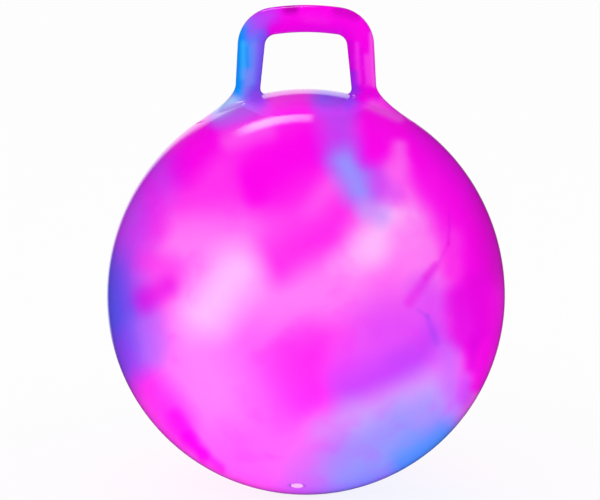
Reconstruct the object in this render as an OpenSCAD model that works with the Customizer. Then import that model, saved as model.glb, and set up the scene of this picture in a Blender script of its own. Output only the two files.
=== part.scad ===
// Hopper ball: a soft blown-up ball with a hollow looped handle and a plugged air valve.
// Millimetres, +Z up, origin on the floor under the middle of the ball.
// The handle's loop lies in the XZ plane and the valve faces the front, -Y.

/* [Ball] */
// Outside diameter of the ball when it is blown up
ball_d = 450; // [400:5:650]
// Thickness of the ball's skin
skin_t = 1.3; // [1:0.1:3]
// Diameter of the flat patch that the ball's weight presses on the floor
patch_d = 70; // [50:1:90]
// How far the crown under the handle stands above a true sphere
crown_rise = 8.6; // [6:0.2:14]
// How much smaller the crown's radius is than the ball's
crown_tightening = 6; // [3:0.5:12]
// How much larger the radius of the shoulder is than the ball's
shoulder_easing = 15; // [12:0.5:20]

/* [Handle] */
// Distance between the legs' axes, level with the top of the crown
leg_spacing = 130; // [115:1:170]
// Lean of each leg towards the other, in degrees
leg_lean = 4.6; // [0:0.2:10]
// Height of the handle above the top of the crown
handle_h = 94.2; // [86:0.1:140]
// Outside diameter of the bar and of the corners
grip_d = 30.4; // [26:0.2:36]
// Outside diameter of a leg at its foot
leg_d = 28; // [24:0.5:34]
// Radius of the corners, along the middle of the tube
corner_r = 28; // [22:1:36]
// Radius of the bar's arch, along the middle of the tube
bar_arch_r = 260; // [150:5:400]
// Thickness of the handle's wall
handle_t = 2.6; // [1.5:0.1:5]

/* [Handle roots] */
// Height of the legs' feet above the top of the crown, where the flares start
foot_h = 4; // [3:0.5:20]
// Spread of the flare on a leg's outer side
flare_out = 40; // [20:1:50]
// Spread of the flare on a leg's inner side
flare_in = 8; // [6:0.5:18]

/* [Valve seat] */
// Angle of the valve from straight down, towards the front, in degrees
valve_tilt = 32; // [20:1:45]
// Turn of the valve from straight ahead, towards the left, in degrees
valve_turn = 4.5; // [0:0.5:15]
// Diameter of the seat's neck, which fills the hole in the skin
neck_d = 20.5; // [20:0.5:30]
// Diameter of the recess round the plug's head
recess_d = 17; // [16:0.5:18]
// Depth of the recess
recess_depth = 1.6; // [1.2:0.1:2.5]
// Diameter of the flange that is welded inside the skin
flange_d = 36; // [32:1:50]
// Thickness of the flange at its rim
flange_t = 1.8; // [1.2:0.1:4]
// Outside diameter of the tube that grips the plug's stem
tube_d = 15; // [13:0.5:18]

/* [Valve plug] */
// Diameter of the plug's head
head_d = 13.6; // [11:0.2:15]
// Height of the plug's head
head_h = 2.9; // [2.2:0.1:4]
// Rise of the dome on the plug's head
dome_h = 1.1; // [0.4:0.1:1.8]
// Diameter of the plug's stem
stem_d = 8.8; // [7:0.1:10]
// Length of the plug's stem
stem_l = 14; // [12:0.5:20]
// Number of grip grooves round the stem
groove_count = 3; // [1:1:4]

/* [Hidden] */
$fn = 96;
// Facets of a full circle of which only a short arc is used
arc_fn = 720;

// How far a cut runs past the face that it opens
overrun = 1;
// Glue or weld line between pieces that are joined for good
bond_gap = 0.1;
// Parting line between a root and the leg that stands on it
parting_gap = 0.02;
// Running clearance of the stem in its bore, on the radius
stem_fit = 0.05;
// Clearance under the plug's head
head_gap = 0.1;
// Length of bore left in the tube past the tip of the stem
tube_spare = 2;
// Depth and width of a grip groove
groove_depth = 0.5;
groove_w = 1.4;
// Chamfer at the stem's tip
tip_chamfer = 0.8;
// How far the legs and the bar run on inside the corners' wall, and how much thinner they are there
joint_lap = 2;
joint_step = 0.2;
// Thickness of a root flare at its edge
edge_lip = 0.4;
// Reach of the half planes and wedges that trim the ball's outline
reach = 3 * ball_d;

magenta = [0.97, 0.22, 0.90];
pale_pink = [0.95, 0.72, 0.98];
dull_pink = [0.72, 0.16, 0.66];

// The ball's outline is three arcs that meet without a corner: the ball, a flatter shoulder and
// a tighter crown. Heights here are taken from the ball's centre.
ball_r = ball_d / 2;
ball_z = sqrt(pow(ball_r, 2) - pow(patch_d / 2, 2));
crown_top = ball_r + crown_rise;
crown_r = ball_r - crown_tightening;
crown_c = crown_top - crown_r;
shoulder_r = ball_r + shoulder_easing;
shoulder_to_crown = shoulder_r - crown_r;
shoulder_z = (pow(shoulder_easing, 2) - pow(shoulder_to_crown, 2) + pow(crown_c, 2)) / (2 * crown_c);
shoulder_x = sqrt(pow(shoulder_easing, 2) - pow(shoulder_z, 2));
ball_end = atan2(shoulder_x, -shoulder_z);
crown_end = atan2(shoulder_x, crown_c - shoulder_z);

function polar(angle, distance) = [distance * sin(angle), distance * cos(angle)];

function on_crown(rho) = rho < crown_r * sin(crown_end);

// Height of the ball's upper skin at a distance from the axis
function skin_z(rho) = on_crown(rho)
    ? crown_c + sqrt(pow(crown_r, 2) - pow(rho, 2))
    : shoulder_z + sqrt(pow(shoulder_r, 2) - pow(rho + shoulder_x, 2));

// The circles of the ball and of the crown lie inside the shoulder's, so only the shoulder is trimmed.
module ball_outline(inset) {
    circle(r = ball_r - inset);
    translate([0, crown_c]) circle(r = crown_r - inset);
    intersection() {
        translate([-shoulder_x, shoulder_z]) circle(r = shoulder_r - inset);
        polygon([[0, 0], polar(ball_end, reach), [0, crown_c] + polar(crown_end, reach), [0, crown_c]]);
    }
}

module standing_outline(inset) {
    intersection() {
        ball_outline(inset);
        translate([0, inset - ball_z]) square([reach, reach]);
    }
}

// The legs lean in from the crown's level. Points in the loop's plane are [x, z].
leg_up = [-sin(leg_lean), cos(leg_lean)];
leg_out = [cos(leg_lean), sin(leg_lean)];
foot = [leg_spacing / 2, crown_top] + foot_h * leg_up;
bar_c = crown_top + handle_h - grip_d / 2 - bar_arch_r;
corner_start = foot - corner_r * leg_out - [0, bar_c];
climb = corner_start * leg_up;
leg_l = sqrt(pow(climb, 2) + pow(bar_arch_r - corner_r, 2) - corner_start * corner_start) - climb;
corner_c = foot + leg_l * leg_up - corner_r * leg_out;
bar_start = atan2(corner_c[1] - bar_c, corner_c[0]);
leg_bore_d = leg_d - 2 * handle_t;
run_r = grip_d / 2 - joint_step;
bar_lap = atan2(joint_lap, bar_arch_r);

// Where a leg's axis meets the skin, and the flare's spread round it
root_x = leg_spacing / 2 + (crown_top - skin_z(leg_spacing / 2)) * tan(leg_lean);
root_sides = 48;
root_steps = 8;
// How far the flare's curve holds to the leg and to the skin before it turns
hold_share = 0.58;

function skin_point(turn, spread, lift) =
    let (x = root_x + spread * cos(turn), y = spread * sin(turn))
    [x, y, skin_z(norm([x, y])) + lift];

function foot_point(turn, radius) =
    let (p = foot - parting_gap * leg_up + radius * cos(turn) * leg_out)
    [p[0], radius * sin(turn), p[1]];

function mix(a, b, share) = a + (b - a) * share;

function bezier(a, b, c, d, t) =
    pow(1 - t, 3) * a + 3 * t * pow(1 - t, 2) * b + 3 * pow(t, 2) * (1 - t) * c + pow(t, 3) * d;

// The flare is widest on the leg's outer side and soon narrows towards the front and back
function flare_spread(turn) = leg_d / 2 + mix(flare_in, flare_out, pow((1 + cos(turn)) / 2, 2));

function flare_point(turn, t) =
    let (
        top = foot_point(turn, leg_d / 2),
        corner = skin_point(turn, leg_d / 2, bond_gap + edge_lip),
        edge = skin_point(turn, flare_spread(turn), bond_gap + edge_lip)
    )
    bezier(top, mix(top, corner, hold_share), mix(edge, corner, hold_share), edge, t);

function under_point(turn, t) =
    skin_point(turn, mix(flare_spread(turn), leg_bore_d / 2, t), bond_gap);

turns = [for (i = [0 : root_sides - 1]) 360 * i / root_sides];

// Rings of points down the flare, in over the skin to the port and up the bore
root_rings = [
    for (k = [0 : root_steps]) [for (turn = turns) flare_point(turn, k / root_steps)],
    for (k = [0 : root_steps]) [for (turn = turns) under_point(turn, k / root_steps)],
    [for (turn = turns) foot_point(turn, leg_bore_d / 2)]
];

function ring_faces(ring, next) = [
    for (i = [0 : root_sides - 1])
        let (j = (i + 1) % root_sides, a = ring * root_sides, b = next * root_sides)
        each [[a + i, a + j, b + j], [a + i, b + j, b + i]]
];

module right_root_solid() {
    ring_count = len(root_rings);
    polyhedron(
        points = [for (ring = root_rings) each ring],
        faces = [for (k = [0 : ring_count - 1]) each ring_faces(k, (k + 1) % ring_count)],
        convexity = 4
    );
}

// The valve's pieces are drawn along +Z from the ball's centre, then turned down to the valve's place.
stem_bore_d = stem_d + 2 * stem_fit;
recess_floor = ball_r - recess_depth;
flange_rim = sqrt(pow(ball_r - skin_t, 2) - pow(flange_d / 2, 2));
tube_end = recess_floor - stem_l - tube_spare;
head_seat = recess_floor + head_gap;
dome_r = (pow(head_d / 2, 2) + pow(dome_h, 2)) / (2 * dome_h);
groove_pitch = stem_l / (groove_count + 1);

module at_ball_centre() {
    translate([0, 0, ball_z]) children();
}

module at_valve() {
    at_ball_centre() rotate([0, 0, -valve_turn]) rotate([180 - valve_tilt, 0, 0]) children();
}

module along_legs() {
    for (side = [0, 1])
        mirror([side, 0, 0]) translate([foot[0], 0, foot[1]]) rotate([0, -leg_lean, 0]) children();
}

module ball_shell() {
    color(magenta) difference() {
        at_ball_centre() rotate_extrude() difference() {
            standing_outline(0);
            standing_outline(skin_t);
        }
        at_ball_centre() along_legs() translate([0, 0, -ball_r]) cylinder(h = ball_r, d = leg_bore_d);
        at_valve() translate([0, 0, recess_floor - skin_t - overrun])
            cylinder(h = recess_depth + skin_t + 2 * overrun, d = neck_d + 2 * bond_gap);
    }
}

module right_handle_root() {
    color(magenta) at_ball_centre() right_root_solid();
}

module left_handle_root() {
    color(magenta) at_ball_centre() mirror([1, 0, 0]) right_root_solid();
}

// A bend of tube in the loop's plane, from one angle above +X to another
module tube_bend(centre, bend_r, tube_r, from, to) {
    translate([centre[0], 0, centre[1]]) rotate([90, 0, 0]) rotate([0, 0, from])
        rotate_extrude(angle = to - from) translate([bend_r, 0]) difference() {
            circle(r = tube_r);
            circle(r = tube_r - handle_t);
        }
}

module leg() {
    rotate_extrude() polygon([
        [leg_bore_d / 2, 0],
        [leg_d / 2, 0],
        [run_r, leg_l + joint_lap],
        [run_r - handle_t, leg_l + joint_lap]
    ]);
}

module handle_loop() {
    color(magenta) at_ball_centre() union() {
        along_legs() leg();
        for (side = [0, 1])
            mirror([side, 0, 0]) tube_bend(corner_c, corner_r, grip_d / 2, leg_lean, bar_start);
        tube_bend([0, bar_c], bar_arch_r, run_r, bar_start - bar_lap, 180 - bar_start + bar_lap);
    }
}

module seat_section() {
    difference() {
        union() {
            intersection() {
                circle(r = ball_r, $fn = arc_fn);
                translate([0, flange_rim - flange_t]) square([neck_d / 2, reach]);
            }
            intersection() {
                circle(r = ball_r - skin_t - bond_gap, $fn = arc_fn);
                translate([0, flange_rim - flange_t]) square([flange_d / 2, reach]);
            }
            translate([0, tube_end]) square([tube_d / 2, flange_rim - tube_end]);
        }
        translate([-overrun, tube_end - overrun]) square([stem_bore_d / 2 + overrun, reach]);
        translate([-overrun, recess_floor]) square([recess_d / 2 + overrun, reach]);
    }
}

module valve_seat() {
    color(dull_pink) at_valve() rotate_extrude() seat_section();
}

module plug_section() {
    intersection() {
        square([head_d / 2, head_h]);
        translate([0, head_h - dome_r]) circle(r = dome_r);
    }
    difference() {
        translate([0, -stem_l]) polygon([
            [0, 0],
            [stem_d / 2 - tip_chamfer, 0],
            [stem_d / 2, tip_chamfer],
            [stem_d / 2, stem_l],
            [0, stem_l]
        ]);
        for (i = [1 : groove_count])
            translate([stem_d / 2 - groove_depth, -i * groove_pitch - groove_w / 2])
                square([groove_depth + overrun, groove_w]);
    }
}

module valve_plug() {
    color(pale_pink) at_valve() translate([0, 0, head_seat]) rotate_extrude() plug_section();
}

ball_shell();
left_handle_root();
right_handle_root();
handle_loop();
valve_seat();
valve_plug();
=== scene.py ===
"""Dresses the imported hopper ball: marbled vinyl skin, looped handle, air valve and a plain studio."""

import math
from collections import namedtuple

import bmesh
import bpy
from bpy.props import FloatProperty, FloatVectorProperty, PointerProperty
from bpy.types import Operator, Panel, PropertyGroup
from mathutils import Color, Matrix, Vector
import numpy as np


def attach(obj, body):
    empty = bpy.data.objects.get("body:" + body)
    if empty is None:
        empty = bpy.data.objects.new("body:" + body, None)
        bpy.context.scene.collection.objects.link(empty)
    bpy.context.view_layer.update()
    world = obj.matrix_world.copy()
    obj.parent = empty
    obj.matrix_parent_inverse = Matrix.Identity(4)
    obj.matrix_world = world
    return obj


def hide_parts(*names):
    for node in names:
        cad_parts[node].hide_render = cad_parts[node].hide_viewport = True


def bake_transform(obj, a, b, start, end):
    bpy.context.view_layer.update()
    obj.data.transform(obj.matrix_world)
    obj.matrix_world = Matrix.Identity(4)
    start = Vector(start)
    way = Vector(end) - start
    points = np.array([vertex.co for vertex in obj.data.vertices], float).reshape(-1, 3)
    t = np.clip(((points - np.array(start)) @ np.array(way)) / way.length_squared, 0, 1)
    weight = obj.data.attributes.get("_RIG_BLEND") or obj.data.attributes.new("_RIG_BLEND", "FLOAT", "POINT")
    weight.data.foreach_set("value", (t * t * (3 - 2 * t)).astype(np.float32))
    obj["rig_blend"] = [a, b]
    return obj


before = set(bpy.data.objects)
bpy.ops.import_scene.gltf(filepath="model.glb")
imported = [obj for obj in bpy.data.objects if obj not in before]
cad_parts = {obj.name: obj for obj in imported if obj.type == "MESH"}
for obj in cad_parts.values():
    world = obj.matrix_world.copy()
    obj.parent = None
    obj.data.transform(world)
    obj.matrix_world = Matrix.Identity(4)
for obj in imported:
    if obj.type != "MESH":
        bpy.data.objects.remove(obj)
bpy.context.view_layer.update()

bl_info = {
    "name": "Marbled hopper ball",
    "version": (1, 0, 0),
    "blender": (4, 5, 0),
    "location": "3D View > Sidebar > Hopper ball",
    "description": "Dresses the solids of a hopper ball in marbled vinyl",
    "category": "Add Mesh",
}

# The photograph's frame, the ball's centre and outline in it, and the length of a pixel at the ball
PHOTO_WIDTH, PHOTO_HEIGHT = 600, 500
BALL_PIXEL = (305.8, 295.2)
BALL_RADIUS_PIXELS = 199.1
PIXEL = 0.00113

# How far the vinyl's pigments stray from their strokes, all over and, on the other side, besides
DRIFT, RIPPLE, BACK_DRIFT = 0.015, 0.006, 0.055

# Where the front's marbling gives way to the back's, behind the ball's centre
FRONT_ENDS, BACK_STARTS = -0.03, 0.08

SPHERE_SEGMENTS = 192
SPHERE_RINGS = 96
TUBE_SIDES = 48
VALVE_SIDES = 64

# One stroke of colour, either of the marbling or of painted light: where it starts and ends and half its
# width, in the photograph's pixels, its colour, how strong it is and the share of its width before its edge
# starts to fade
Swirl = namedtuple("Swirl", "start end width colour strength core", defaults=(1.0, 0.0))

# Strokes on the side of the ball that the photograph shows, from the broad ones to the fine ones
# Among the pigment swirls are a painted reflection on the left shoulder and painted shade at the right edge
FRONT_SWIRLS_AND_PAINTED_LIGHT = (
    Swirl((185, 182), (330, 190), 78, "hot_pink", 0.9),
    Swirl((235, 140), (300, 112), 50, "hot_pink", 0.9),
    Swirl((185, 246), (232, 240), 48, "rose", 0.8),
    Swirl((196, 350), (212, 392), 64, "rose", 0.95),
    Swirl((264, 296), (350, 284), 58, "rose", 0.9),
    Swirl((318, 212), (332, 178), 28, "pink", 0.8),
    Swirl((276, 260), (336, 222), 38, "hot_pink", 0.95),
    Swirl((290, 372), (300, 392), 54, "hot_pink", 0.5),
    Swirl((314, 360), (318, 384), 60, "hot_pink"),
    Swirl((206, 316), (234, 272), 47, "pale"),
    Swirl((372, 242), (398, 213), 46, "pale", 0.95),
    Swirl((396, 208), (412, 224), 26, "pale", 0.7),
    Swirl((344, 262), (372, 246), 30, "pale", 0.5),
    Swirl((415, 235), (418, 275), 44, "rose", 0.9),
    Swirl((270, 168), (306, 148), 56, "magenta", 0.95),
    Swirl((252, 176), (255, 190), 23, "magenta", 0.9),
    Swirl((180, 165), (209, 138), 33, "magenta"),
    Swirl((148, 172), (116, 240), 50, "violet", 0.95),
    Swirl((116, 240), (116, 300), 56, "violet", 0.95),
    Swirl((150, 180), (158, 232), 22, "magenta", 0.3),
    Swirl((102, 280), (122, 346), 56, "indigo"),
    Swirl((122, 350), (132, 378), 34, "purple", 0.7),
    Swirl((148, 328), (152, 350), 32, "lilac", 0.6),
    Swirl((150, 262), (172, 270), 26, "hot_pink", 0.5),
    Swirl((147, 301), (168, 290), 22, "cerise", 0.55),
    Swirl((226, 112), (252, 105), 27, "violet", 0.85),
    Swirl((218, 120), (246, 107), 18, "lilac", 0.7),
    # Painted reflection: the pale blue band on the crown's left shoulder beside the handle's root
    Swirl((215, 110), (234, 99), 15, "ice", 0.95),
    Swirl((230, 142), (266, 132), 18, "pink", 0.6),
    Swirl((327, 99), (350, 106), 27, "iris", 0.95),
    Swirl((339, 120), (342, 150), 36, "violet", 0.95),
    Swirl((352, 152), (374, 186), 34, "violet", 0.9),
    Swirl((347, 163), (359, 190), 30, "periwinkle", 0.95),
    Swirl((366, 210), (380, 214), 20, "lavender", 0.7),
    Swirl((372, 116), (377, 150), 30, "magenta"),
    Swirl((392, 122), (416, 150), 34, "magenta"),
    Swirl((426, 140), (464, 196), 50, "magenta"),
    Swirl((474, 200), (486, 330), 46, "magenta"),
    Swirl((428, 130), (474, 185), 30, "cerise", 0.8),
    Swirl((400, 150), (405, 176), 15, "pink", 0.85),
    Swirl((402, 176), (406, 194), 24, "pink", 0.8),
    Swirl((426, 174), (442, 225), 24, "magenta", 0.5),
    Swirl((380, 186), (394, 194), 20, "orchid", 0.6),
    # Partly pigment and partly painted shade: the darker magenta down the ball's right edge, where less light
    # falls
    Swirl((484, 206), (500, 266), 30, "plum", 0.35),
    Swirl((474, 285), (478, 335), 28, "cerise", 0.6),
    Swirl((448, 240), (452, 272), 18, "hot_pink", 0.8),
    Swirl((424, 288), (436, 306), 28, "orchid", 0.7),
    Swirl((384, 334), (424, 325), 62, "orchid", 0.9),
    Swirl((350, 370), (405, 352), 40, "orchid", 0.8),
    Swirl((354, 391), (402, 370), 38, "violet", 0.95),
    Swirl((402, 370), (434, 340), 28, "violet", 0.8),
    Swirl((457, 298), (459, 340), 20, "cerise", 0.6),
    Swirl((306, 476), (350, 440), 54, "lilac", 0.75),
    Swirl((324, 428), (350, 412), 32, "lavender", 0.5),
    Swirl((364, 422), (430, 395), 42, "lavender"),
    Swirl((447, 358), (451, 386), 26, "lilac", 0.6),
    Swirl((352, 482), (408, 438), 56, "periwinkle"),
    Swirl((432, 414), (448, 416), 30, "periwinkle", 0.7),
    Swirl((350, 452), (398, 430), 40, "sky", 0.2),
    Swirl((376, 482), (408, 466), 26, "sky", 0.2),
    Swirl((410, 464), (446, 436), 28, "sky"),
    Swirl((456, 394), (460, 402), 18, "lilac", 0.5),
    Swirl((467, 376), (467, 394), 14, "orchid", 0.6),
    Swirl((471, 384), (466, 400), 12, "violet", 0.5),
    Swirl((474, 344), (474, 364), 16, "cerise", 0.8),
    Swirl((490, 345), (480, 385), 14, "magenta", 0.9),
    Swirl((150, 388), (178, 426), 34, "hot_pink", 0.9),
    Swirl((176, 420), (190, 440), 15, "magenta", 0.5),
    Swirl((189, 439), (204, 456), 12, "magenta", 0.9),
    Swirl((204, 456), (222, 468), 9, "magenta", 0.5),
    Swirl((447, 212), (446, 244), 3, "cerise", 0.3),
    Swirl((446, 244), (440, 262), 4, "cerise", 0.15),
    Swirl((436, 265), (426, 277), 7, "cerise", 0.25),
    Swirl((434, 268), (407, 302), 10, "cerise", 0.3),
    Swirl((416, 310), (428, 319), 4, "purple", 0.2),
    Swirl((427, 318), (436, 344), 7, "purple", 0.3),
)

# Strokes on the other side, placed as if it were photographed in the same way
BACK_SWIRLS = (
    Swirl((190, 170), (290, 150), 84, "magenta", 0.9),
    Swirl((215, 300), (305, 236), 60, "pale", 0.75),
    Swirl((375, 330), (430, 250), 72, "violet", 0.85),
    Swirl((385, 385), (440, 320), 50, "periwinkle", 0.85),
    Swirl((225, 440), (320, 455), 62, "lavender", 0.8),
    Swirl((225, 470), (290, 474), 40, "sky", 0.8),
    Swirl((290, 345), (350, 385), 72, "rose", 0.8),
    Swirl((330, 190), (365, 230), 52, "rose", 0.7),
    Swirl((150, 370), (190, 420), 52, "cerise", 0.7),
)

# Strokes on the handle and its roots: pigment swirls, with painted highlights and painted reflections among
# them
HANDLE_SWIRLS_AND_PAINTED_LIGHT = (
    Swirl((285, 18), (345, 18), 44, "magenta", 1.0, 0.5),
    Swirl((345, 20), (363, 82), 25, "magenta", 1.0, 0.6),
    Swirl((247, 38), (244, 80), 27, "sky", 1.0, 0.4),
    Swirl((251, 30), (259, 22), 18, "iris", 0.85),
    Swirl((263, 22), (271, 16), 20, "violet", 0.8),
    Swirl((236, 86), (239, 32), 13, "azure"),
    # Painted reflection: a pale streak down the left leg
    Swirl((244, 42), (242, 76), 6, "cyan", 0.7),
    Swirl((247, 46), (246, 72), 3, "azure", 0.3),
    Swirl((257, 46), (253, 80), 8, "periwinkle", 0.5),
    Swirl((264, 38), (259, 86), 12, "iris", 0.9),
    Swirl((247, 72), (246, 89), 10, "periwinkle", 0.6),
    Swirl((253, 94), (258, 99), 14, "purple", 0.75),
    Swirl((289, 10), (294, 10), 9, "plum", 0.85),
    # Painted reflection: the lighter patch on the bar
    Swirl((307, 18), (326, 19), 11, "hot_pink", 0.5),
    Swirl((338, 10), (354, 15), 10, "plum", 0.5),
    Swirl((349, 45), (352, 74), 7, "cerise", 0.8),
    # Painted highlights: this and the next two pink strokes are the pale streaks down the right leg
    Swirl((355, 44), (357, 84), 5, "pink", 0.5),
    Swirl((365, 58), (366, 84), 8, "pink", 0.6),
    Swirl((369, 34), (371, 86), 5, "pink", 0.8),
    Swirl((360, 50), (361, 84), 3, "cerise", 0.5),
    Swirl((351, 76), (351, 90), 8, "purple", 0.65),
    Swirl((352, 92), (347, 101), 13, "purple", 0.7),
    Swirl((366, 93), (372, 97), 10, "cerise", 0.7),
    # Painted highlight: the lighter patch where the right leg's flare meets the crown
    Swirl((370, 105), (398, 117), 12, "pink", 0.8),
)


def length(name, description, default):
    return FloatProperty(
        name=name, description=description, default=default, min=0.0, unit="LENGTH", precision=4
    )


def angle(name, description, degrees):
    return FloatProperty(name=name, description=description, default=math.radians(degrees), subtype="ANGLE")


def share(name, description, default):
    return FloatProperty(name=name, description=description, default=default, min=0.0, max=20.0)


def colour(name, description, red, green, blue):
    return FloatVectorProperty(
        name=name, description=description, default=(red / 255, green / 255, blue / 255),
        min=0.0, max=1.0, size=3, subtype="COLOR_GAMMA",
    )


class BallSizes(PropertyGroup):
    diameter: length("Diameter", "Outside diameter of the ball", 0.450)
    wall: length("Wall", "Thickness of the vinyl skin", 0.0013)
    patch: length("Floor patch", "Diameter of the patch pressed flat on the floor", 0.070)
    crown_rise: length("Crown rise", "How far the crown stands above a true ball", 0.0086)
    crown_tightening: length("Crown tightening", "How much smaller the crown's radius is", 0.006)
    shoulder_easing: length("Shoulder easing", "How much larger the shoulder's radius is", 0.015)


class HandleSizes(PropertyGroup):
    leg_spacing: length("Leg spacing", "Distance between the legs at the crown", 0.130)
    leg_lean: angle("Leg lean", "Lean of each leg towards the other", 4.6)
    height: length("Height", "Height of the handle above the crown", 0.0942)
    grip: length("Grip", "Diameter of the bar and the corners", 0.0304)
    leg: length("Leg", "Diameter of a leg at its foot", 0.028)
    corner_radius: length("Corner radius", "Radius of a corner along the tube", 0.028)
    arch_radius: length("Arch radius", "Radius of the bar's arch along the tube", 0.260)
    foot_height: length("Foot height", "Height above the crown where the flares start", 0.004)
    flare_out: length("Outer flare", "Spread of the flare on a leg's outer side", 0.040)
    flare_in: length("Inner flare", "Spread of the flare on a leg's inner side", 0.008)
    flare_hold: share("Flare hold", "How far the flare holds to the leg and the skin before it turns", 0.58)


class ValveSizes(PropertyGroup):
    tilt: angle("Tilt", "Angle of the valve from straight down, towards the front", 32.0)
    turn: angle("Turn", "Turn of the valve towards the left", 4.5)
    neck: length("Neck", "Diameter of the seat's neck", 0.0205)
    recess: length("Recess", "Diameter of the recess round the plug", 0.017)
    recess_depth: length("Recess depth", "Depth of the recess", 0.0016)
    flange: length("Flange", "Diameter of the flange inside the skin", 0.036)
    flange_thickness: length("Flange thickness", "Thickness of the flange at its rim", 0.0018)
    tube: length("Tube", "Outside diameter of the tube that grips the stem", 0.015)
    bore: length("Bore", "Diameter of the bore for the stem", 0.0089)
    head: length("Head", "Diameter of the plug's head", 0.0136)
    head_height: length("Head height", "Height of the plug's head", 0.0029)
    head_gap: length("Head gap", "Clearance under the plug's head", 0.0001)
    stem: length("Stem", "Diameter of the plug's stem", 0.0088)
    stem_length: length("Stem length", "Length of the plug's stem", 0.014)


class VinylColours(PropertyGroup):
    magenta: colour("Magenta", "Deep colour of the marbling", 252, 2, 234)
    hot_pink: colour("Hot pink", "Body colour of the vinyl", 254, 46, 236)
    pink: colour("Pink", "Lighter body colour", 255, 96, 243)
    rose: colour("Rose", "Light pink", 255, 126, 246)
    pale: colour("Pale pink", "Lightest streaks", 254, 184, 252)
    cerise: colour("Cerise", "Dark magenta", 227, 2, 224)
    # Plum paints the dark spots on the bar and, at the ball's right edge, partly painted shade
    plum: colour("Plum", "Darkest magenta", 184, 0, 174)
    orchid: colour("Orchid", "Pink with some violet", 222, 76, 246)
    violet: colour("Violet", "Violet of the swirls", 194, 66, 244)
    purple: colour("Purple", "Blue side of the violet", 148, 66, 242)
    lilac: colour("Lilac", "Pale violet", 190, 108, 250)
    lavender: colour("Lavender", "Palest violet", 196, 150, 252)
    periwinkle: colour("Periwinkle", "Pale blue violet", 150, 144, 255)
    indigo: colour("Indigo", "Deep blue violet", 92, 82, 240)
    sky: colour("Sky", "Bright blue", 82, 148, 255)
    azure: colour("Azure", "Brightest blue, on the handle", 4, 146, 255)
    # Ice paints a reflection: the pale band on the crown's left shoulder
    ice: colour("Ice", "Palest blue, beside the handle", 172, 204, 255)
    # Cyan paints a reflection: the pale streak down the handle's left leg
    cyan: colour("Cyan", "Pale streak on the handle", 62, 184, 255)
    iris: colour("Iris", "Blue violet of the handle's corner", 126, 98, 255)
    seat: colour("Valve seat", "Tinted vinyl of the valve seat", 204, 100, 238)
    plug: colour("Plug", "Pale vinyl of the plug", 250, 196, 252)


class StageSettings(PropertyGroup):
    camera_distance: length("Camera distance", "From the camera to the ball's centre", 2.5)
    camera_rise: angle("Camera rise", "How far the camera looks down on the ball", 10.0)
    sensor: FloatProperty(
        name="Sensor width", description="Width of the camera's sensor in millimetres", default=36.0
    )
    surround: share("Surround", "Light from all round the studio", 0.95)
    key: share("Key light", "Radiance of the large lamp above the camera", 1.0)
    streak: share("Streak light", "Radiance of the strip of light that draws the gloss on the crown", 6.4)
    base: share("Base light", "Radiance of the lamp under the ball", 0.55)
    floor: share("Floor", "Brightness of the floor", 0.94)
    floor_white: share("White floor", "How far the camera sees the floor as plain white", 0.85)


class HopperBall(PropertyGroup):
    ball: PointerProperty(type=BallSizes, name="Ball")
    handle: PointerProperty(type=HandleSizes, name="Handle")
    valve: PointerProperty(type=ValveSizes, name="Valve")
    vinyl: PointerProperty(type=VinylColours, name="Vinyl")
    stage: PointerProperty(type=StageSettings, name="Stage")


def settings():
    return bpy.context.scene.hopper_ball


class BallShape:
    """The ball's outline: the ball itself, a flatter shoulder and a tighter crown, without a corner."""

    def __init__(self):
        sizes = settings().ball
        self.radius = sizes.diameter / 2
        self.centre = Vector((0, 0, math.sqrt(self.radius**2 - (sizes.patch / 2) ** 2)))
        self.crown_top = self.radius + sizes.crown_rise
        self.crown_radius = self.radius - sizes.crown_tightening
        self.crown_centre = self.crown_top - self.crown_radius
        self.shoulder_radius = self.radius + sizes.shoulder_easing
        easing, step = sizes.shoulder_easing, self.shoulder_radius - self.crown_radius
        self.shoulder_z = (easing**2 - step**2 + self.crown_centre**2) / (2 * self.crown_centre)
        self.shoulder_x = math.sqrt(easing**2 - self.shoulder_z**2)
        self.ball_end = math.atan2(self.shoulder_x, -self.shoulder_z)
        crown_end = math.atan2(self.shoulder_x, self.crown_centre - self.shoulder_z)
        self.crown_edge = self.crown_radius * math.sin(crown_end)
        self.crown_turn = math.atan2(
            self.crown_edge, self.crown_centre + self.crown_radius * math.cos(crown_end)
        )

    def skin_height(self, rho):
        """Height above the floor of the upper skin at a distance from the axis."""
        if rho < self.crown_edge:
            return self.centre.z + self.crown_centre + math.sqrt(self.crown_radius**2 - rho**2)
        return self.centre.z + self.shoulder_z + math.sqrt(
            self.shoulder_radius**2 - (rho + self.shoulder_x) ** 2
        )

    def on_skin(self, direction):
        """The point of the outline in a direction from the ball's centre."""
        across, up = math.hypot(direction.x, direction.y), direction.z
        turn = math.atan2(across, up)
        if turn >= self.ball_end:
            return self.centre + direction * self.radius
        if turn >= self.crown_turn:
            arc_x, arc_z, arc_radius = -self.shoulder_x, self.shoulder_z, self.shoulder_radius
        else:
            arc_x, arc_z, arc_radius = 0.0, self.crown_centre, self.crown_radius
        along = across * arc_x + up * arc_z
        return self.centre + direction * (along + math.sqrt(along**2 - arc_x**2 - arc_z**2 + arc_radius**2))


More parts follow.
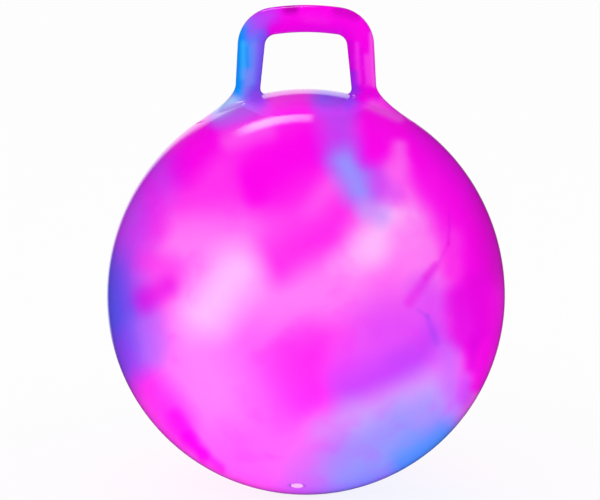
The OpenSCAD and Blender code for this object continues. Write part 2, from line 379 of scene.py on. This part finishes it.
class HandleShape:
    """The handle's centreline in the XZ plane, and the flares that join its legs to the skin."""

    SLOPE_STEP = 0.001
    SKIN_EASE = 0.16

    def __init__(self, ball):
        sizes = settings().handle
        self.ball = ball
        self.leg_radius, self.grip_radius = sizes.leg / 2, sizes.grip / 2
        self.corner_radius, self.arch_radius = sizes.corner_radius, sizes.arch_radius
        self.lean = sizes.leg_lean
        self.up = Vector((-math.sin(self.lean), 0, math.cos(self.lean)))
        self.out = Vector((math.cos(self.lean), 0, math.sin(self.lean)))
        crown = ball.centre.z + ball.crown_top
        self.foot = Vector((sizes.leg_spacing / 2, 0, crown)) + sizes.foot_height * self.up
        self.bar_centre = Vector((0, 0, crown + sizes.height - self.grip_radius - self.arch_radius))
        start = self.foot - self.corner_radius * self.out - self.bar_centre
        climb = start.dot(self.up)
        reach = self.arch_radius - self.corner_radius
        self.leg_length = math.sqrt(climb**2 + reach**2 - start.length_squared) - climb
        self.corner_centre = self.foot + self.leg_length * self.up - self.corner_radius * self.out
        self.bar_start = math.atan2(
            self.corner_centre.z - self.bar_centre.z, self.corner_centre.x - self.bar_centre.x
        )
        drop = crown - ball.skin_height(sizes.leg_spacing / 2)
        self.root_x = sizes.leg_spacing / 2 + drop * math.tan(self.lean)
        self.flare_in, self.flare_out, self.hold = sizes.flare_in, sizes.flare_out, sizes.flare_hold

    def flare_spread(self, turn):
        lean_out = ((1 + math.cos(turn)) / 2) ** 2
        return self.leg_radius + self.flare_in + (self.flare_out - self.flare_in) * lean_out

    def skin_point(self, turn, spread, lift=0.0):
        x, y = self.root_x + spread * math.cos(turn), spread * math.sin(turn)
        return Vector((x, y, self.ball.skin_height(math.hypot(x, y)) + lift))

    def flare_point(self, turn, t, lift):
        """A point of the right flare, from the leg's foot at 0 to the skin at 1, which it meets flat."""
        top = self.foot + self.leg_radius * (math.cos(turn) * self.out + Vector((0, math.sin(turn), 0)))
        corner = self.skin_point(turn, self.leg_radius, lift)
        spread = self.flare_spread(turn)
        edge = self.skin_point(turn, spread, lift)
        slope = (edge - self.skin_point(turn, spread - self.SLOPE_STEP, lift)).normalized()
        near_leg = top.lerp(corner, self.hold)
        near_skin = edge - slope * (edge - corner).length * (1 - self.hold + self.SKIN_EASE)
        s = 1 - t
        return s**3 * top + 3 * s**2 * t * near_leg + 3 * s * t**2 * near_skin + t**3 * edge


class PhotoView:
    """The photograph's camera, or the same camera carried round to the back, with a side of -1."""

    def __init__(self, ball, side=1):
        stage = settings().stage
        rise, self.distance, self.ball = stage.camera_rise, stage.camera_distance, ball
        self.forward = Vector((0, side * math.cos(rise), -math.sin(rise)))
        self.right = Vector((side, 0, 0))
        self.up = self.right.cross(self.forward)
        self.place = ball.centre - self.forward * self.distance
        flank = math.sqrt(self.distance**2 - ball.radius**2)
        self.focal_pixels = BALL_RADIUS_PIXELS * flank / ball.radius

    def on_paper(self, paint, place):
        """Where a place falls in the photograph, and how far behind the ball's centre it lies."""
        sight = paint.vector("SUBTRACT", place, tuple(self.place))
        ahead = paint.vector("DOT_PRODUCT", sight, tuple(self.forward))
        across = paint.vector("DOT_PRODUCT", sight, tuple(self.right)) / ahead
        above = paint.vector("DOT_PRODUCT", sight, tuple(self.up)) / ahead
        pixel = paint.node(
            "ShaderNodeCombineXYZ", {},
            {0: across * self.focal_pixels + BALL_PIXEL[0], 1: BALL_PIXEL[1] - above * self.focal_pixels},
        )
        return pixel, ahead - self.distance


class Paint:
    """A socket in a material's or the world's nodes. Sums on it add Math nodes."""

    def __init__(self, tree, socket=None):
        self.tree, self.socket = tree, socket

    def node(self, kind, options, inputs, output=0):
        made = self.tree.nodes.new(kind)
        for name, value in options.items():
            setattr(made, name, value)
        for key, value in inputs.items():
            if isinstance(value, Paint):
                self.tree.links.new(value.socket, made.inputs[key])
            else:
                made.inputs[key].default_value = value
        return Paint(self.tree, made.outputs[output] if made.outputs else None)

    def sum_of(self, operation, first, second):
        return self.node("ShaderNodeMath", {"operation": operation}, {0: first, 1: second})

    def __add__(self, other):
        return self.sum_of("ADD", self, other)

    __radd__ = __add__

    def __sub__(self, other):
        return self.sum_of("SUBTRACT", self, other)

    def __rsub__(self, other):
        return self.sum_of("SUBTRACT", other, self)

    def __mul__(self, other):
        return self.sum_of("MULTIPLY", self, other)

    __rmul__ = __mul__

    def __truediv__(self, other):
        return self.sum_of("DIVIDE", self, other)

    def __rtruediv__(self, other):
        return self.sum_of("DIVIDE", other, self)

    def vector(self, operation, first, second):
        scaled = operation == "SCALE"
        single = operation in ("DOT_PRODUCT", "DISTANCE", "LENGTH")
        return self.node(
            "ShaderNodeVectorMath", {"operation": operation},
            {0: first, "Scale" if scaled else 1: second}, 1 if single else 0,
        )

    def fade(self, value, start, end, at_start=0.0, at_end=1.0):
        return self.node(
            "ShaderNodeMapRange", {"interpolation_type": "SMOOTHSTEP"},
            {0: value, 1: start, 2: end, 3: at_start, 4: at_end},
        )

    def mix(self, factor, first, second):
        return self.node(
            "ShaderNodeMix", {"data_type": "RGBA"}, {0: factor, 6: first, 7: second}, 2
        )

    def noise(self, place, scale, detail=2.0, output=0):
        return self.node(
            "ShaderNodeTexNoise", {}, {"Vector": place, "Scale": scale, "Detail": detail}, output
        )

    def band(self, value, low, high, soft):
        """One between two values, and soft at both of its edges."""
        return self.fade(value, low - soft, low) * self.fade(value, high + soft, high)

    def shifted(self, place, offset):
        return self.vector("ADD", place, offset)


def scene_colour(name):
    """A colour of the vinyl as Blender's shaders take it."""
    shown = Color(getattr(settings().vinyl, name)).from_srgb_to_scene_linear()
    return (shown.r, shown.g, shown.b, 1.0)


def shown_colour(name):
    """A colour of the vinyl as it is shown, in which pigments shade evenly into each other."""
    return (*getattr(settings().vinyl, name), 1.0)


def new_finish(name):
    finish = bpy.data.materials.new(name)
    finish.use_nodes = True
    finish.node_tree.nodes.clear()
    return finish, Paint(finish.node_tree)


def lay_swirl(paint, coat, pixel, swirl):
    """Adds a stroke to the colours so far."""
    start, end = Vector((*swirl.start, 0)), Vector((*swirl.end, 0))
    run = end - start
    from_start = paint.vector("SUBTRACT", pixel, tuple(start))
    along = paint.vector("DOT_PRODUCT", from_start, tuple(run / run.length_squared))
    along = paint.node("ShaderNodeClamp", {}, {0: along, 1: 0.0, 2: 1.0})
    away = paint.vector("DISTANCE", from_start, paint.vector("SCALE", tuple(run), along))
    mask = paint.fade(away, swirl.width * swirl.core, swirl.width, swirl.strength, 0.0)
    return paint.mix(mask, coat, shown_colour(swirl.colour))


def marbled_vinyl():
    """Glossy vinyl with pigments swirled through it, the same all over the ball and the handle, with painted
    highlights, painted reflections and painted shade among its strokes.
    """
    if "marbled_vinyl" in bpy.data.materials:
        return bpy.data.materials["marbled_vinyl"]
    ball = BallShape()
    finish, paint = new_finish("marbled_vinyl")
    place = paint.node("ShaderNodeTexCoord", {}, {}, 3)

    drift = paint.vector("SUBTRACT", paint.noise(place, 9.0, 1.0, 1), (0.5, 0.5, 0.5))
    ripple = paint.vector("SUBTRACT", paint.noise(place, 20.0, 2.0, 1), (0.5, 0.5, 0.5))
    swirled = paint.vector("ADD", place, paint.vector("SCALE", drift, DRIFT))
    swirled = paint.vector("ADD", swirled, paint.vector("SCALE", ripple, RIPPLE))
    front_pixel, depth = PhotoView(ball).on_paper(paint, swirled)
    back_pixel, _ = PhotoView(ball, -1).on_paper(
        paint, paint.vector("ADD", swirled, paint.vector("SCALE", drift, BACK_DRIFT))
    )

    def cloud(offset, scale, low, high):
        return paint.fade(paint.noise(paint.shifted(swirled, offset), scale, 1.5), low, high)

    back = paint.mix(cloud((0.3, 0.1, 0.7), 7.0, 0.40, 0.66), shown_colour("hot_pink"), shown_colour("pink"))
    back = paint.mix(cloud((1.3, 0.4, 0.2), 6.0, 0.50, 0.66), back, shown_colour("magenta"))
    back = paint.mix(cloud((2.1, 1.7, 0.9), 6.0, 0.54, 0.70), back, shown_colour("pale"))
    back = paint.mix(cloud((0.6, 2.2, 1.4), 5.0, 0.54, 0.66), back, shown_colour("violet"))
    back = paint.mix(cloud((1.9, 0.8, 2.6), 5.0, 0.58, 0.70), back, shown_colour("periwinkle"))
    for swirl in BACK_SWIRLS:
        back = lay_swirl(paint, back, back_pixel, swirl)

    front = shown_colour("pink")
    for swirl in FRONT_SWIRLS_AND_PAINTED_LIGHT + HANDLE_SWIRLS_AND_PAINTED_LIGHT:
        front = lay_swirl(paint, front, front_pixel, swirl)
    coat = paint.mix(paint.fade(depth, FRONT_ENDS, BACK_STARTS), front, back)

    wisps = paint.noise(paint.shifted(swirled, (0.9, 0.2, 0.4)), 22.0, 3.0)
    coat = paint.mix(paint.fade(wisps, 0.52, 0.78, 0.0, 0.10), coat, shown_colour("pink"))
    coat = paint.mix(paint.fade(wisps, 0.48, 0.24, 0.0, 0.12), coat, shown_colour("magenta"))

    coat = paint.node("ShaderNodeGamma", {}, {0: coat, 1: 2.2})
    rough = paint.noise(place, 60.0, 2.0) * 0.05 + 0.05
    peel = paint.noise(place, 240.0, 1.0)
    bump = paint.node("ShaderNodeBump", {}, {"Strength": 0.05, "Distance": 0.0004, "Height": peel})
    vinyl = paint.node(
        "ShaderNodeBsdfPrincipled", {},
        {"Base Color": coat, "Roughness": rough, "Specular IOR Level": 0.35, "Normal": bump},
    )
    paint.node("ShaderNodeOutputMaterial", {}, {"Surface": vinyl})
    return finish


def moulded_vinyl(name, tint, roughness):
    """Plain tinted vinyl with a faint mottle, for the valve."""
    if name in bpy.data.materials:
        return bpy.data.materials[name]
    finish, paint = new_finish(name)
    place = paint.node("ShaderNodeTexCoord", {}, {}, 3)
    mottle = paint.noise(place, 420.0, 3.0)
    tone = scene_colour(tint)
    darker = tuple(0.8 * part for part in tone[:3]) + (1.0,)
    coat = paint.mix(paint.fade(mottle, 0.35, 0.65, 0.0, 0.6), tone, darker)
    rough = paint.noise(place, 900.0, 2.0) * 0.12 + roughness
    bump = paint.node(
        "ShaderNodeBump", {}, {"Strength": 0.15, "Distance": 0.0001, "Height": paint.noise(place, 1800.0)}
    )
    vinyl = paint.node(
        "ShaderNodeBsdfPrincipled", {}, {"Base Color": coat, "Roughness": rough, "Normal": bump}
    )
    paint.node("ShaderNodeOutputMaterial", {}, {"Surface": vinyl})
    return finish


def deselect():
    if bpy.context.mode != "OBJECT":
        bpy.ops.object.mode_set(mode="OBJECT")
    bpy.ops.object.select_all(action="DESELECT")


def edit():
    bpy.ops.object.mode_set(mode="EDIT")
    return bmesh.from_edit_mesh(bpy.context.object.data)


def choose(mesh, wanted):
    """Selects the vertices, and what lies between them, that a test picks."""
    bpy.ops.mesh.select_all(action="DESELECT")
    for vertex in mesh.verts:
        vertex.select = wanted(vertex.co)
    mesh.select_mode = {"VERT"}
    mesh.select_flush_mode()
    mesh.select_flush(True)
    bmesh.update_edit_mesh(bpy.context.object.data)


def finish_piece(piece, name, material, smooth_degrees):
    """Puts the piece at the origin, smooths it and gives it its one material."""
    deselect()
    piece.select_set(True)
    bpy.context.view_layer.objects.active = piece
    bpy.ops.object.transform_apply(location=True, rotation=True, scale=True)
    bpy.ops.object.shade_smooth_by_angle(angle=math.radians(smooth_degrees))
    piece.name = piece.data.name = name
    piece.data.materials.clear()
    piece.data.materials.append(material)
    return piece


def apply_modifier(piece, kind, **options):
    modifier = piece.modifiers.new(kind.lower(), kind)
    for name, value in options.items():
        setattr(modifier, name, value)
    bpy.context.view_layer.objects.active = piece
    bpy.ops.object.modifier_apply(modifier=modifier.name)


def valve_turn(ball):
    """Takes the valve's own axis, +Z from the ball's centre, to its place low at the front."""
    sizes = settings().valve
    return (
        Matrix.Translation(ball.centre)
        @ Matrix.Rotation(-sizes.turn, 4, "Z")
        @ Matrix.Rotation(math.pi - sizes.tilt, 4, "X")
    )


def turned_piece(stations, closed):
    """Draws rings out one after another along +Z, as on a lathe, from (radius, height) stations."""
    deselect()
    radius, height = stations[0]
    bpy.ops.mesh.primitive_circle_add(vertices=VALVE_SIDES, radius=radius, location=(0, 0, height))
    piece = bpy.context.object
    bpy.ops.object.transform_apply(location=True, rotation=True, scale=True)
    mesh = edit()
    bpy.ops.mesh.select_all(action="SELECT")
    if not closed:
        bpy.ops.mesh.edge_face_add()
        bpy.ops.mesh.select_all(action="DESELECT")
        for edge in mesh.edges:
            edge.select = True
        bmesh.update_edit_mesh(piece.data)
    for next_radius, next_height in stations[1:]:
        bpy.ops.mesh.extrude_edges_move(TRANSFORM_OT_translate={"value": (0, 0, next_height - height)})
        grow = next_radius / radius
        bpy.ops.transform.resize(value=(grow, grow, 1), center_override=(0, 0, next_height))
        radius, height = next_radius, next_height
    if closed:
        bpy.ops.mesh.select_all(action="SELECT")
        bpy.ops.mesh.region_to_loop()
        bpy.ops.mesh.bridge_edge_loops()
    else:
        bpy.ops.mesh.edge_face_add()
    bpy.ops.mesh.select_all(action="SELECT")
    bpy.ops.mesh.normals_make_consistent(inside=False)
    bpy.ops.object.mode_set(mode="OBJECT")
    return piece


class HOPPER_OT_ball_skin(Operator):
    """Blows up the marbled skin of the ball, with its tight crown, flat floor patch and valve hole"""

    bl_idname = "hopper.ball_skin"
    bl_label = "Ball skin"

    HOLE_CLEARANCE = 0.0001
    POLE_REACH = 0.001

    def execute(self, context):
        ball, sizes = BallShape(), settings()
        turn = valve_turn(ball)
        axis = (turn.to_3x3() @ Vector((0, 0, 1))).normalized()
        deselect()
        bpy.ops.mesh.primitive_uv_sphere_add(
            segments=SPHERE_SEGMENTS, ring_count=SPHERE_RINGS, radius=ball.radius,
            location=ball.centre, rotation=turn.to_euler(),
        )
        skin = bpy.context.object
        bpy.ops.object.transform_apply(location=True, rotation=True, scale=True)

        mesh = edit()
        pole = ball.centre + axis * ball.radius
        choose(mesh, lambda co: (co - pole).length < self.POLE_REACH)
        bpy.ops.mesh.delete(type="VERT")
        ring = ball.radius * math.sin(math.pi / SPHERE_RINGS)
        choose(mesh, lambda co: (co - pole).length < ring * 1.1)
        hole = sizes.valve.neck / 2 + self.HOLE_CLEARANCE
        bpy.ops.transform.resize(value=(hole / ring,) * 3, center_override=pole)
        for vertex in mesh.verts:
            vertex.co = ball.on_skin((vertex.co - ball.centre).normalized())
        bmesh.update_edit_mesh(skin.data)
        bpy.ops.mesh.select_all(action="SELECT")
        bpy.ops.mesh.bisect(
            plane_co=(0, 0, 0), plane_no=(0, 0, 1), clear_inner=True, clear_outer=False, use_fill=True
        )
        bpy.ops.mesh.select_all(action="SELECT")
        bpy.ops.mesh.normals_make_consistent(inside=False)
        bpy.ops.object.mode_set(mode="OBJECT")
        apply_modifier(skin, "SOLIDIFY", thickness=sizes.ball.wall, offset=-1.0)
        finish_piece(skin, "ball_skin", marbled_vinyl(), 40)
        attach(skin, "ball")
        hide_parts("ball_shell")
        return {"FINISHED"}


class HOPPER_OT_handle_skin(Operator):
    """Draws the hollow handle out of the crown: legs, corners, arched bar and flared roots"""

    bl_idname = "hopper.handle_skin"
    bl_label = "Handle skin"

    LEG_STEPS = 6
    CORNER_STEPS = 16
    BAR_STEPS = 14
    FLARE_STEPS = 14
    LIFT = 0.00004
    SKIRT = 0.004
    TUCK = 0.0008
    BEND_HEIGHT = 0.032

    def execute(self, context):
        ball = BallShape()
        handle = HandleShape(ball)
        deselect()
        bpy.ops.mesh.primitive_circle_add(
            vertices=TUBE_SIDES, radius=handle.leg_radius, location=handle.foot, rotation=(0, -handle.lean, 0)
        )
        tube = bpy.context.object
        bpy.ops.object.transform_apply(location=True, rotation=True, scale=True)
        edit()
        bpy.ops.mesh.select_all(action="SELECT")
        self.draw_leg(handle, handle.foot, handle.up, handle.leg_radius, handle.grip_radius)
        corner_turn = handle.bar_start - handle.lean
        left_corner = Vector((-handle.corner_centre.x, 0, handle.corner_centre.z))
        self.bend(self.CORNER_STEPS, corner_turn, handle.corner_centre)
        self.bend(self.BAR_STEPS, math.pi - 2 * handle.bar_start, handle.bar_centre)
        self.bend(self.CORNER_STEPS, corner_turn, left_corner)
        left_up = Vector((-handle.up.x, 0, handle.up.z))
        left_foot = Vector((-handle.foot.x, 0, handle.foot.z))
        left_top = left_foot + handle.leg_length * left_up
        self.draw_leg(handle, left_top, -left_up, handle.grip_radius, handle.leg_radius)
        bmesh.from_edit_mesh(tube.data).verts.layers.float.new("turn")
        for side in (1, -1):
            self.draw_flare(tube, handle, side)
        bpy.ops.mesh.select_all(action="SELECT")
        bpy.ops.mesh.normals_make_consistent(inside=False)
        bpy.ops.object.mode_set(mode="OBJECT")
        tube.data.attributes.remove(tube.data.attributes["turn"])
        finish_piece(tube, "handle_skin", marbled_vinyl(), 60)
        crown = ball.centre.z + ball.crown_top
        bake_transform(tube, "ball", "handle", start=(0, 0, crown), end=(0, 0, crown + self.BEND_HEIGHT))
        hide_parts("handle_loop", "left_handle_root", "right_handle_root")
        return {"FINISHED"}

    def draw_leg(self, handle, start, direction, from_radius, to_radius):
        step, centre = direction * handle.leg_length / self.LEG_STEPS, start.copy()
        growth = (to_radius / from_radius) ** (1 / self.LEG_STEPS)
        for _ in range(self.LEG_STEPS):
            bpy.ops.mesh.extrude_edges_move(TRANSFORM_OT_translate={"value": step})
            centre += step
            bpy.ops.transform.resize(value=(growth,) * 3, center_override=centre)

    def bend(self, steps, turn, centre):
        bpy.ops.mesh.spin(steps=steps, angle=turn, center=centre, axis=(0, 1, 0))

    def draw_flare(self, tube, handle, side):
        mesh = bmesh.from_edit_mesh(tube.data)
        layer = mesh.verts.layers.float["turn"]
        mirror = Vector((side, 1, 1))

        def on_foot(co):
            return abs(((co * mirror) - handle.foot).dot(handle.up)) < 1e-5 and co.x * side > 0

        choose(mesh, on_foot)
        for vertex in mesh.verts:
            if vertex.select:
                own = vertex.co * mirror
                vertex[layer] = math.atan2(own.y, (own - handle.foot).dot(handle.out))
        rings = [
            lambda turn, t=k / self.FLARE_STEPS: handle.flare_point(turn, t, self.LIFT)
            for k in range(1, self.FLARE_STEPS + 1)
        ]
        for lift in (self.LIFT / 2, -self.TUCK):
            rings.append(
                lambda turn, lift=lift: handle.skin_point(turn, handle.flare_spread(turn) + self.SKIRT, lift)
            )
        for ring in rings:
            bpy.ops.mesh.extrude_edges_move(TRANSFORM_OT_translate={"value": (0, 0, -0.001)})
            mesh = bmesh.from_edit_mesh(tube.data)
            layer = mesh.verts.layers.float["turn"]
            for vertex in mesh.verts:
                if vertex.select:
                    vertex.co = ring(vertex[layer]) * mirror
            bmesh.update_edit_mesh(tube.data)
        bpy.ops.mesh.edge_face_add()


class HOPPER_OT_valve_seat(Operator):
    """Turns the valve seat: rounded rim, recess, bore, and the flange and tube inside the skin"""

    bl_idname = "hopper.valve_seat"
    bl_label = "Valve seat"

    def execute(self, context):
        ball, sizes, wall = BallShape(), settings().valve, settings().ball.wall
        neck, recess, bore = sizes.neck / 2, sizes.recess / 2, sizes.bore / 2
        flange, tube = sizes.flange / 2, sizes.tube / 2
        floor = ball.radius - sizes.recess_depth
        inner = ball.radius - wall - 0.0001
        flange_top = math.sqrt(inner**2 - flange**2)
        tube_end = floor - sizes.stem_length - 0.002

        def skin(radius):
            return math.sqrt(ball.radius**2 - radius**2)

        seat = turned_piece(
            (
                (neck, math.sqrt(inner**2 - neck**2)),
                (neck, skin(neck) - 0.00025),
                (neck - 0.00025, skin(neck)),
                ((neck + recess) / 2, skin(neck) + 0.00012),
                (recess + 0.0003, skin(recess)),
                (recess, skin(recess) - 0.0003),
                (recess - 0.0001, floor + 0.0003),
                (recess - 0.0004, floor),
                (bore + 0.0003, floor),
                (bore, floor - 0.0003),
                (bore, tube_end),
                (tube - 0.0004, tube_end),
                (tube, tube_end + 0.0004),
                (tube, flange_top - sizes.flange_thickness - 0.001),
                (tube + 0.001, flange_top - sizes.flange_thickness),
                (flange, flange_top - sizes.flange_thickness),
                (flange, flange_top),
            ),
            closed=True,
        )
        seat.matrix_world = valve_turn(ball)
        finish_piece(seat, "valve_rim", moulded_vinyl("tinted_vinyl", "seat", 0.30), 50)
        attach(seat, "ball")
        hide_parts("valve_seat")
        return {"FINISHED"}


class HOPPER_OT_valve_plug(Operator):
    """Turns the valve's plug: a domed head with a soft rim, and a ribbed stem"""

    bl_idname = "hopper.valve_plug"
    bl_label = "Valve plug"

    GROOVES = 3
    GROOVE_DEPTH = 0.0005
    GROOVE_WIDTH = 0.0014
    # The head's dome and dimple: shares of its radius, and depths below its top
    DOME = (
        (0.80, 0.00055), (0.60, 0.00025), (0.40, 0.00008), (0.24, 0.0),
        (0.19, 0.00005), (0.15, 0.00022), (0.08, 0.00026),
    )

    def execute(self, context):
        ball, sizes = BallShape(), settings().valve
        seat = ball.radius - sizes.recess_depth + sizes.head_gap
        stem, head, top = sizes.stem / 2, sizes.head / 2, sizes.head_height
        pitch, half = sizes.stem_length / (self.GROOVES + 1), self.GROOVE_WIDTH / 2
        stations = [(stem - 0.0012, -sizes.stem_length), (stem - 0.0006, -sizes.stem_length + 0.0002),
                    (stem, -sizes.stem_length + 0.0009)]
        for i in range(self.GROOVES, 0, -1):
            middle = -i * pitch
            stations += [
                (stem, middle - half), (stem - self.GROOVE_DEPTH, middle - half + 0.0002),
                (stem - self.GROOVE_DEPTH, middle + half - 0.0002), (stem, middle + half),
            ]
        stations += [
            (stem, -0.0003), (stem + 0.0003, 0.0),
            (head - 0.0004, 0.0), (head - 0.0001, 0.0001), (head, 0.0004),
            (head, 0.0014), (head - 0.00012, 0.0017), (head - 0.0005, 0.00195),
        ]
        stations += [(head * part, top - drop) for part, drop in self.DOME]
        plug = turned_piece([(radius, seat + height) for radius, height in stations], closed=False)
        plug.matrix_world = valve_turn(ball)
        finish_piece(plug, "valve_stopper", moulded_vinyl("pale_vinyl", "plug", 0.34), 50)
        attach(plug, "plug")
        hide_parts("valve_plug")
        return {"FINISHED"}


class HOPPER_OT_stage(Operator):
    """Sets up the camera, a pale floor and soft studio light"""

    bl_idname = "hopper.stage"
    bl_label = "Stage"

    FLOOR_SIZE = 40.0
    KEY_PLACE, KEY_SIZE = (-0.9, -2.4, 2.4), (2.2, 1.6)
    BASE_PLACE, BASE_SIZE = (0, 0, 0.002), (0.9, 0.9)
    STRIP_TILT = (0.0, 0.841, -0.541)

    def execute(self, context):
        ball = BallShape()
        self.set_camera(context, PhotoView(ball))
        self.lay_floor()
        self.light_world(context.scene)
        self.hang_lamps(ball)
        context.scene.view_settings.view_transform = "Standard"
        return {"FINISHED"}

    def set_camera(self, context, view):
        stage = settings().stage
        right = (BALL_PIXEL[0] - PHOTO_WIDTH / 2) / view.focal_pixels * view.distance
        below = (BALL_PIXEL[1] - PHOTO_HEIGHT / 2) / view.focal_pixels * view.distance
        aim = view.ball.centre - right * view.right + below * view.up
        camera = bpy.data.objects.new("camera", bpy.data.cameras.new("camera"))
        context.scene.collection.objects.link(camera)
        camera.data.sensor_fit = "HORIZONTAL"
        camera.data.sensor_width = stage.sensor
        camera.data.lens = view.focal_pixels * stage.sensor / PHOTO_WIDTH
        camera.location = view.place
        camera.rotation_euler = (aim - view.place).to_track_quat("-Z", "Y").to_euler()
        context.scene.camera = camera

    def lay_floor(self):
        deselect()
        bpy.ops.mesh.primitive_plane_add(size=self.FLOOR_SIZE, location=(0, 0, 0))
        floor = bpy.context.object
        floor.name = "floor"
        finish, paint = new_finish("pale_floor")
        level = settings().stage.floor
        grain = paint.noise(paint.node("ShaderNodeTexCoord", {}, {}, 3), 3.0)
        tone = paint.mix(grain, (level, level, level, 1.0), (level * 0.985, level * 0.985, level * 0.985, 1.0))
        matt = paint.node("ShaderNodeBsdfDiffuse", {}, {"Color": tone})
        white = paint.node("ShaderNodeEmission", {}, {"Color": (1, 1, 1, 1), "Strength": 1.0})
        seen = paint.node("ShaderNodeLightPath", {}, {}, 0) * settings().stage.floor_white
        surface = paint.node("ShaderNodeMixShader", {}, {0: seen, 1: matt, 2: white})
        paint.node("ShaderNodeOutputMaterial", {}, {"Surface": surface})
        floor.data.materials.append(finish)
        floor.visible_glossy = False

    def light_world(self, scene):
        stage = settings().stage
        world = bpy.data.worlds.new("studio")
        world.use_nodes = True
        world.node_tree.nodes.clear()
        paint = Paint(world.node_tree)
        look = paint.node("ShaderNodeTexCoord", {}, {}, 0)
        across = paint.node("ShaderNodeSeparateXYZ", {}, {0: look}, 0)
        behind = paint.node("ShaderNodeSeparateXYZ", {}, {0: look}, 1)
        above = paint.node("ShaderNodeSeparateXYZ", {}, {0: look}, 2)
        screen = (
            paint.fade(behind, 0.0, 0.2)
            * paint.band(across, -0.24, 0.07, 0.14) * paint.band(above, -0.18, 0.32, 0.08)
        )
        strip = paint.vector("DOT_PRODUCT", look, self.STRIP_TILT)
        streak = (
            paint.fade(behind, 0.2, 0.4) * paint.band(strip, -0.03, 0.02, 0.09)
            * paint.fade(across, -0.43, -0.27) * paint.fade(across, 0.06, 0.0)
            * paint.fade(across, 0.0, -0.22, 0.5, 1.0)
        )
        seen_in_gloss = screen * 0.95 + streak * stage.streak + 0.015
        camera_ray = paint.node("ShaderNodeLightPath", {}, {}, 0)
        glossy_ray = paint.node("ShaderNodeLightPath", {}, {}, 3)
        level = glossy_ray * (seen_in_gloss - stage.surround) + stage.surround
        level = camera_ray * (1.0 - level) + level
        sky = paint.node("ShaderNodeBackground", {}, {"Color": (1, 1, 1, 1), "Strength": level})
        paint.node("ShaderNodeOutputWorld", {}, {"Surface": sky})
        scene.world = world

    def hang_lamps(self, ball):
        stage = settings().stage
        key = self.lamp("key_lamp", Vector(self.KEY_PLACE), ball.centre, *self.KEY_SIZE, stage.key)
        key.visible_glossy = False
        base = self.lamp("base_lamp", Vector(self.BASE_PLACE), ball.centre, *self.BASE_SIZE, stage.base)
        base.visible_camera = base.visible_glossy = False

    def lamp(self, name, place, aim, width, depth, radiance):
        lamp = bpy.data.lights.new(name, "AREA")
        lamp.shape, lamp.size, lamp.size_y = "RECTANGLE", width, depth
        lamp.energy = radiance * math.pi * width * depth
        holder = bpy.data.objects.new(name, lamp)
        bpy.context.scene.collection.objects.link(holder)
        holder.location = place
        holder.rotation_euler = (aim - place).to_track_quat("-Z", "Y").to_euler()
        return holder


class HOPPER_PT_sidebar(Panel):
    """Lists the pieces of the hopper ball, its sizes and its colours"""

    bl_idname = "HOPPER_PT_sidebar"
    bl_label = "Hopper ball"
    bl_space_type = "VIEW_3D"
    bl_region_type = "UI"
    bl_category = "Hopper ball"

    def draw(self, context):
        for operator in PIECES:
            self.layout.operator(operator.bl_idname)
        for part in ("ball", "handle", "valve", "vinyl", "stage"):
            group = getattr(context.scene.hopper_ball, part)
            box = self.layout.box()
            box.label(text=part.capitalize())
            for name in group.__annotations__:
                box.prop(group, name)


PIECES = (
    HOPPER_OT_ball_skin,
    HOPPER_OT_handle_skin,
    HOPPER_OT_valve_seat,
    HOPPER_OT_valve_plug,
    HOPPER_OT_stage,
)
CLASSES = (
    BallSizes, HandleSizes, ValveSizes, VinylColours, StageSettings, HopperBall, *PIECES, HOPPER_PT_sidebar,
)


def register():
    for made in CLASSES:
        bpy.utils.register_class(made)
    bpy.types.Scene.hopper_ball = PointerProperty(type=HopperBall)


def unregister():
    del bpy.types.Scene.hopper_ball
    for made in reversed(CLASSES):
        bpy.utils.unregister_class(made)


def main():
    register()
    bpy.ops.hopper.ball_skin()
    bpy.ops.hopper.handle_skin()
    bpy.ops.hopper.valve_seat()
    bpy.ops.hopper.valve_plug()
    bpy.ops.hopper.stage()


if __name__ == "__main__":
    main()
